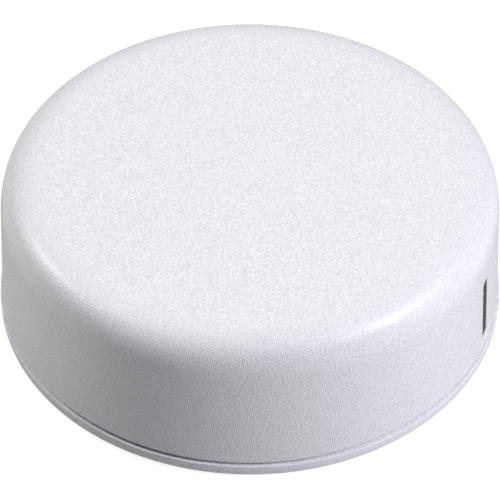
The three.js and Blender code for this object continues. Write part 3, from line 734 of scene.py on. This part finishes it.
def base_additions():
    """Screw seats, board standoffs and the sill at the foot of the port bay."""
    root = FLOOR_TOP_Z - 0.5
    solids = [prism(circle(x, y, BOSS_R, 24), root, BOSS_TOP_Z) for x, y in BOSSES]
    solids += [prism(circle(x, y, STANDOFF_R, 24), root, STANDOFF_TOP_Z) for x, y in STANDOFFS]
    half = BAY_HALF_WIDTH
    sill = arc_outline(SILL_R, half, 12)
    sill += [(-half, PANEL_FACE_Y - 0.5), (half, PANEL_FACE_Y - 0.5)]
    solids.append(prism(sill, root, SPIGOT_TOP_Z - 0.02))
    return solids


def arc_outline(radius, half_width, half_steps):
    """Points from right to left along the rear of a circle about Z, between two widths."""
    reach = math.asin(half_width / radius)
    angles = [reach * (1 - k / half_steps) for k in range(2 * half_steps + 1)]
    return [(radius * math.sin(a), radius * math.cos(a)) for a in angles]


def base_cuts():
    """Vents, screw wells, holes in the standoffs and the groove that holds the port panel."""
    cuts = []
    for i in range(VENT_COUNT):
        angle = (i + 0.5) / VENT_COUNT * TAU
        end = Vector((math.cos(angle), math.sin(angle))) * (VENT_R + VENT_LENGTH / 2)
        if any((end - Vector(boss)).length < VENT_CLEARANCE for boss in BOSSES):
            continue
        outline = rounded_box(VENT_R, 0, VENT_LENGTH, VENT_WIDTH, VENT_WIDTH / 2 - 0.01, 6)
        turn = Matrix.Rotation(angle, 2)
        cuts.append(prism([tuple(turn @ Vector(p)) for p in outline], -1, 6))
    well_r, shank_r, standoff_hole_r = 2.6, 1.45, 1.3
    for x, y in BOSSES:
        cuts.append(prism(circle(x, y, well_r, 32), -1, 2.7))
        cuts.append(prism(circle(x, y, shank_r, 24), 2.5, 6))
    for x, y in STANDOFFS:
        cuts.append(prism(circle(x, y, standoff_hole_r, 24), 3.4, 9))
    half = PANEL_GROOVE_HALF
    back, front = PANEL_BACK_Y - PANEL_GROOVE_GAP, PANEL_FACE_Y + PANEL_GROOVE_GAP
    groove = [(-half, back), (half, back), (half, front), (-half, front)]
    cuts.append(prism(groove, FLOOR_TOP_Z, 9))
    return cuts


def build_foot():
    """Rubber ring with rounded edges and two shallow grip lines."""
    low, high = FOOT_LOW.z, FOOT_HIGH.z
    inner, outer = 44.0, FOOT_HIGH.x
    middle = (inner + outer) / 2
    corners = [(inner, low, 0.3)]
    for line in (middle - 1, middle + 1):
        corners += [(line - 0.2, low, 0.05), (line, low + 0.2, 0.05), (line + 0.2, low, 0.05)]
    corners += [(outer, low, 0.3), (outer, high, 0.1), (inner, high, 0.1)]
    foot = turned("foot_rubber", filleted(corners))
    paint(foot, "black_rubber")
    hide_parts("foot_ring")


# ---- Rear ports --------------------------------------------------------------------------

# Middle of each opening in the panel, in x and z.
BUTTON_AT = (-20.6, 13.4)
POWER_AT = (-13.1, 13.35)
VIDEO_AT = (-1.35, 12.25)
NETWORK_AT = (14.7, 16.4)

PANEL_GAP = 0.25  # round the video socket
POWER_R = 3.45
JACK_WINDOW = (16.1, 14.0)
JACK_SIZE = (15.6, 13.5)
JACK_BACK_Y, JACK_WALL_Y, JACK_FACE_Y = 29.5, 31.5, 44.4
VIDEO_BACK_Y = 33.5
VIDEO_SHEET = 0.35
TONGUE_ROOT_Y, TONGUE_TIP_Y, TONGUE_RISE = 36.5, 43.4, 0.45


def video_outline(inset):
    """Outline of the video socket with softened corners."""
    x, z = VIDEO_AT
    half, half_z, bevel = 7.3 - inset, 2.6 - inset, 1.9
    soft = max(0.1, 0.6 - inset)
    corners = [(-half, half_z, soft), (-half, bevel - half_z, soft), (bevel - half, -half_z, soft),
               (half - bevel, -half_z, soft), (half, bevel - half_z, soft), (half, half_z, soft)]
    return filleted([(x + cx, z + cz, r) for cx, cz, r in corners])


def build_panel():
    """Port panel with rounded windows, and the curved hood that closes the bay above it."""
    low, high = PANEL_LOW.z, PANEL_HIGH.z
    half = PANEL_HIGH.x
    windows = [rounded_box(*NETWORK_AT, *JACK_WINDOW, 0.4), video_outline(-PANEL_GAP),
               circle(*POWER_AT, POWER_R), circle(*BUTTON_AT, 2.35)]
    outer = rounded_box(0, (low + high) / 2, 2 * half, high - low, 0.3)
    plate = plate_y([outer, *windows], PANEL_BACK_Y, PANEL_FACE_Y, 0.25)
    hood_half = half - 0.05
    outline = arc_outline(PANEL_HIGH.y, hood_half, 24)
    outline += [(-hood_half, PANEL_FACE_Y - 0.6), (hood_half, PANEL_FACE_Y - 0.6)]
    hood = plate_mesh([outline], HOOD_LOW_Z, high - 0.02, 0.15)
    panel = finish_piece("port_plate", joined([plate, hood]))
    paint(panel, "dark_plastic")
    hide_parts("port_panel")


def build_video_socket():
    """Bent steel shell with a rolled front edge, and the contact tongue inside it."""
    back, front = VIDEO_BACK_Y, PANEL_FACE_Y + 0.2
    rings = [(video_outline(0), back), (video_outline(0), front - 0.15),
             (video_outline(0.05), front - 0.04), (video_outline(0.17), front),
             (video_outline(0.3), front - 0.04), (video_outline(VIDEO_SHEET), front - 0.2),
             (video_outline(VIDEO_SHEET), back)]
    shell = loft_y("video_shell", rings)
    paint(shell, "nickel_steel")
    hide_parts("video_socket_shell")
    x, z = VIDEO_AT
    block = plate_y([video_outline(VIDEO_SHEET + 0.1)], back + 0.5, TONGUE_ROOT_Y, 0.1)
    tongue = plate_y([rounded_box(x, z + TONGUE_RISE, 11.2, 1.1, 0.15)],
                     TONGUE_ROOT_Y, TONGUE_TIP_Y, 0.12)
    insert = finish_piece("video_insert", joined([block, tongue]))
    paint(insert, "black_epoxy")
    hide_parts("video_socket_insert")
    build_video_contacts(x, z + TONGUE_RISE)


def build_video_contacts(x, middle_z):
    """Gold pads on both faces of the tongue, 1 mm apart."""
    pads = []
    for side, count in ((1, 10), (-1, 9)):
        for i in range(count):
            px = x + i - (count - 1) / 2
            pad = rounded_box(px, middle_z + side * 0.56, 0.35, 0.12, 0.03)
            pads.append(plate_y([pad], TONGUE_ROOT_Y + 0.1, TONGUE_TIP_Y - 0.3, 0.02))
    contacts = finish_piece("video_contacts", joined(pads))
    paint(contacts, "gold_contact")


def network_mouth(x, z):
    """The plug's mouth with the two-step latch notch below it."""
    half, low, high = 5.95, z - 3.2, z + 5.2
    wide, narrow = 3.2, 1.8
    step, notch = low - 1.6, low - 2.7
    corners = [(-half, low), (-wide, low), (-wide, step), (-narrow, step), (-narrow, notch),
               (narrow, notch), (narrow, step), (wide, step), (wide, low), (half, low),
               (half, high), (-half, high)]
    return filleted([(x + cx, cz, 0.15) for cx, cz in corners], 3)


def build_network_jack():
    """Jack body with its mouth, eight spring contacts and two small lamps in its face."""
    x, z = NETWORK_AT
    outer = rounded_box(x, z, *JACK_SIZE, 0.3)
    body = plate_y([outer, network_mouth(x, z)], JACK_WALL_Y, JACK_FACE_Y, 0.2)
    back = plate_y([outer], JACK_BACK_Y, JACK_WALL_Y - 0.02, 0.1)
    jack = finish_piece("network_jack", joined([body, back]))
    paint(jack, "dark_plastic")
    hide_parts("network_jack_housing")
    build_network_springs(x, z + 5.05)
    for side, name in ((-1, "network_lamp_left"), (1, "network_lamp_right")):
        window = rounded_box(x + side * 6.1, z + 5.95, 2.6, 1.0, 0.2)
        lamp = finish_piece(name, plate_y([window], 44.1, 44.47, 0.05))
        paint(lamp, "clear_lens")


def build_network_springs(x, roof):
    """Eight gold springs that slope back and down from the roof of the jack."""
    pitch, radius = 1.02, 0.2
    path = [(41.6, -0.25), (40.6, -0.3), (37, -1.0), (33.5, -1.75), (31.9, -1.6)]
    wires = []
    for i in range(8):
        wx = x + (i - 3.5) * pitch
        wires.append(wire_mesh([(wx, y, roof + drop) for y, drop in path], radius))
    springs = finish_piece("network_springs", joined(wires))
    paint(springs, "gold_contact")
    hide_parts("network_jack_contacts")


def wire_mesh(path, radius):
    """A round wire with closed ends along a path, as a mesh in metres."""
    curve = bpy.data.curves.new("wire", "CURVE")
    curve.dimensions = "3D"
    curve.bevel_depth = radius * MM
    curve.bevel_resolution = 3
    curve.use_fill_caps = True
    spline = curve.splines.new("POLY")
    spline.points.add(len(path) - 1)
    for point, place in zip(spline.points, path):
        point.co = (*(c * MM for c in place), 1)
    holder = bpy.data.objects.new("wire", curve)
    bpy.context.scene.collection.objects.link(holder)
    bpy.context.view_layer.update()
    mesh = bpy.data.meshes.new_from_object(holder)
    bpy.data.objects.remove(holder)
    bpy.data.curves.remove(curve)
    return mesh


def build_power_socket():
    """Power inlet with a rounded nose round its hole, and a pin with a rounded tip."""
    x, z = POWER_AT
    nose, hole = 3.2, 2.0
    back, root, collar = 33.25, 35.05, 41.5
    profile = filleted([(hole, root, 0), (hole, PANEL_FACE_Y, 0.3), (nose, PANEL_FACE_Y, 0.25),
                        (nose, collar, 0), (POWER_R, collar, 0.1), (POWER_R, back, 0),
                        (0, back, 0), (0, root, 0)])
    socket = turned_y("power_socket", profile, x, z)
    paint(socket, "dark_plastic")
    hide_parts("power_socket_housing")
    pin_r, foot, tip = 0.65, 35.1, 43.5
    profile = filleted([(0, foot, 0), (pin_r, foot, 0), (pin_r, tip, 0.5), (0, tip, 0)])
    pin = turned_y("power_pin", profile, x, z, 24)
    paint(pin, "nickel_steel")
    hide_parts("power_socket_pin")


def build_button():
    """Button cap with a dished face, a flange behind the panel and a stem."""
    low, high = box_mm("pairing_button")
    stem, radius, flange = 1.2, 2.1, 2.9
    flange_front = PANEL_BACK_Y - 0.25
    flange_back = flange_front - 0.8
    dish, dish_r = 0.18, 0.86 * radius
    face = [(dish_r * (1 - k / 8), high.y - dish * math.sin(math.pi / 2 * k / 8))
            for k in range(9)]
    profile = filleted([(0, low.y, 0), (stem, low.y, 0.1), (stem, flange_back, 0.1),
                        (flange, flange_back, 0.1), (flange, flange_front, 0.1),
                        (radius, flange_front, 0.05), (radius, high.y, 0.28)])
    button = turned_y("button_cap", profile + face, *BUTTON_AT, body=BUTTON)
    paint(button, "pearl_plastic")
    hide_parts("pairing_button")


# ---- Window slot -------------------------------------------------------------------------

WINDOW_DEPTH = 0.3  # from the cover's outside to the face of the window
WINDOW_GAP = 0.06  # between the tongue and the slot
FLANGE_WIDTH = 6.8


def against_wall(mesh):
    """Wraps a plate round the front of the cover: its Y becomes depth under the wall's outside."""
    for point in mesh.vertices:
        x, depth, z = point.co / MM
        radius = wall_radius(z) - depth
        point.co.y = -math.sqrt(radius * radius - x * x) * MM
    return mesh


def build_window():
    """Smoked window: a flange behind the wall and a tongue that nearly fills the slot."""
    half_x, half_z = SLOT_OPENING["half"]
    width, height = 2 * (half_x - WINDOW_GAP), 2 * (half_z - WINDOW_GAP)
    corner = SLOT_OPENING["corner"] - WINDOW_GAP
    outline = rounded_box(0, SLOT_OPENING["z"], width, height, corner, 8)
    tongue = plate_y([outline], WINDOW_DEPTH, WALL + 0.3, 0.12)
    low, high = WINDOW_LOW.z, WINDOW_HIGH.z
    outline = rounded_box(0, (low + high) / 2, FLANGE_WIDTH, high - low, 0.8)
    flange = plate_y([outline], WALL + 0.2, WALL + 0.9, 0.1)
    window = finish_piece("window_lens", joined([against_wall(tongue), against_wall(flange)]))
    paint(window, "smoked_plastic")
    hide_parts("slot_window")


# ---- Case screws -------------------------------------------------------------------------

def build_screws():
    """Case screws with rounded heads and a cross recess, seen in their wells from below."""
    head_r, head_height, shank_r, point = 2.3, 1.7, 1.15, 0.9
    for k, (x, y) in enumerate(BOSSES):
        node = f"case_screw_{k + 1}"
        low, high = box_mm(node)
        head_top = low.z + head_height
        profile = filleted([(0, low.z, 0), (head_r, low.z, 0.6), (head_r, head_top, 0.1),
                            (shank_r, head_top, 0.1), (shank_r, high.z - point, 0.2),
                            (0, high.z, 0)])
        points, faces = turned_mesh(profile, 40)
        screw = mesh_object(f"screw_{k + 1}", [(px + x, py + y, pz) for px, py, pz in points],
                            faces)
        boolean(screw, merged_tools("recess", [cross_recess(x, y, low.z)]))
        paint(screw, "zinc_steel")
        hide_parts(node)


def cross_recess(x, y, z):
    """A tapered cross-shaped tool that opens downwards."""
    wide, narrow, depth = 1.35, 0.28, 1.0
    rings = []
    for scale, height in ((1.1, z - 0.1), (0.72, z + depth)):
        w, n = wide * scale, narrow * scale
        cross = [(w, -n), (w, n), (n, n), (n, w), (-n, w), (-n, n), (-w, n), (-w, -n),
                 (-n, -n), (-n, -w), (n, -w), (n, -n)]
        rings.append([(x + cx, y + cy, height) for cx, cy in cross])
    points = rings[0] + rings[1]
    faces = band(list(range(12)), list(range(12, 24)))
    faces += [list(range(12)), list(range(12, 24))]
    return tool("cross", points, faces)


# ---- Scene -------------------------------------------------------------------------------

CAMERA_AZIMUTH, CAMERA_ELEVATION = math.radians(-67.5), math.radians(45.43)
CAMERA_DISTANCE = 571.2
CAMERA_AIM_Z = 11.8
CAMERA_LENS = 185.5
CAMERA_SENSOR = 36
CAMERA_CLIP_START = 0.01

COOL, WARM = (0.99, 0.995, 1.035), (1.01, 1.0, 0.975)
RIGHT, LEFT, BACK = 2.8, 177.8, 112.8  # azimuths in degrees

# Name, azimuth and elevation in degrees, side of the square box in metres, watts, colour.
LIGHTS = [
    ("right_low_box", RIGHT, 12, 0.45, 1.5, COOL),
    ("right_box", RIGHT, 28, 0.45, 4.1, COOL),
    ("right_high_box", RIGHT, 44, 0.37, 8.3, COOL),
    ("right_top_box", RIGHT, 60, 0.45, 0.75, COOL),
    ("left_box", LEFT, 28, 0.35, 4.8, WARM),
    ("left_high_box", LEFT, 44, 0.25, 3.9, WARM),
    ("left_top_box", LEFT, 60, 0.35, 0.5, WARM),
    ("back_box", BACK, 50, 0.6, 1.9, WARM),
]
LIGHT_DISTANCE = 1.2
LOW_LIGHT = 40  # degrees up to which a box gives no reflections
STUDIO_LEVEL = 0.03
FLOOR_GLOW = 0.85  # of the floor that the camera sees
FLOOR_BOUNCE = 0.21  # of the floor that lights the player
FLOOR_SIZE, FLOOR_GAP = 6, 0.00002  # in metres; the gap is between the foot and the floor


def build_camera():
    """A long lens from the front left, above."""
    camera = bpy.data.objects.new("camera", bpy.data.cameras.new("camera"))
    camera.data.lens = CAMERA_LENS
    camera.data.sensor_width = CAMERA_SENSOR
    flat = math.cos(CAMERA_ELEVATION)
    back = Vector((math.sin(CAMERA_AZIMUTH) * flat, -math.cos(CAMERA_AZIMUTH) * flat,
                   math.sin(CAMERA_ELEVATION)))
    aim = Vector((0, 0, CAMERA_AIM_Z * MM))
    camera.location = back * CAMERA_DISTANCE * MM + Vector((0, 0, BASE_LOW.z * MM))
    camera.rotation_euler = (aim - camera.location).to_track_quat("-Z", "Y").to_euler()
    camera.data.clip_start = CAMERA_CLIP_START
    bpy.context.scene.collection.objects.link(camera)
    bpy.context.scene.camera = camera


def area_light(name, azimuth, elevation, size, watts, colour):
    """A square soft light that looks at the player from one direction."""
    data = bpy.data.lights.new(name, "AREA")
    data.shape = "SQUARE"
    data.size = size
    data.energy = watts
    data.color = colour
    light = bpy.data.objects.new(name, data)
    turn, lift = math.radians(azimuth), math.radians(elevation)
    away = Vector((math.sin(turn) * math.cos(lift), -math.cos(turn) * math.cos(lift),
                   math.sin(lift)))
    light.location = away * LIGHT_DISTANCE
    light.rotation_euler = away.to_track_quat("Z", "Y").to_euler()
    light.visible_glossy = elevation > LOW_LIGHT  # otherwise the top glares in low views
    bpy.context.scene.collection.objects.link(light)


def build_sky():
    """A pale backdrop to the camera, and an even, dim studio round the player."""
    world = bpy.data.worlds.new("sky")
    world.use_nodes = True
    tree = world.node_tree
    backdrop = tree.nodes.new("ShaderNodeBackground")
    backdrop.inputs["Strength"].default_value = 1.0
    studio = tree.nodes["Background"]
    studio.inputs["Color"].default_value = (1, 1, 1, 1)
    studio.inputs["Strength"].default_value = STUDIO_LEVEL
    seen = tree.nodes.new("ShaderNodeLightPath")
    choice = tree.nodes.new("ShaderNodeMixShader")
    tree.links.new(seen.outputs["Is Camera Ray"], choice.inputs["Fac"])
    tree.links.new(studio.outputs["Background"], choice.inputs[1])
    tree.links.new(backdrop.outputs["Background"], choice.inputs[2])
    tree.links.new(choice.outputs["Shader"], tree.nodes["World Output"].inputs["Surface"])
    bpy.context.scene.world = world


def floor_material():
    """A pale light table: it glows nearly white, so that shadows on it stay faint."""
    n = Nodes("floor")
    colour = n.blend(n.noise(400, 2), (0.3, 0.3, 0.3), (0.32, 0.32, 0.32))
    seen = n.add("ShaderNodeLightPath").outputs["Is Camera Ray"]
    return n.surface(Base_Color=colour, Roughness=0.9, Specular_IOR_Level=0.0,
                     Emission_Color=(1, 1, 1),
                     Emission_Strength=n.span(seen, FLOOR_BOUNCE, FLOOR_GLOW, 0, 1))


def build_stage():
    """A plain pale floor, the soft boxes and the studio round them."""
    floor_z = FOOT_LOW.z * MM - FLOOR_GAP
    bpy.ops.mesh.primitive_plane_add(size=FLOOR_SIZE, location=(0, 0, floor_z))
    floor = bpy.context.object
    floor.name = "floor"
    floor.data.materials.append(floor_material())
    for light in LIGHTS:
        area_light(*light)
    build_sky()
    bpy.context.scene.view_settings.view_transform = "Standard"


def main():
    """The CAD nodes' materials, the finer pieces, and then the camera and the stage."""
    paint_cad_nodes()
    build_cover()
    build_base()
    build_foot()
    build_panel()
    build_video_socket()
    build_network_jack()
    build_power_socket()
    build_button()
    build_window()
    build_screws()
    build_camera()
    build_stage()


main()
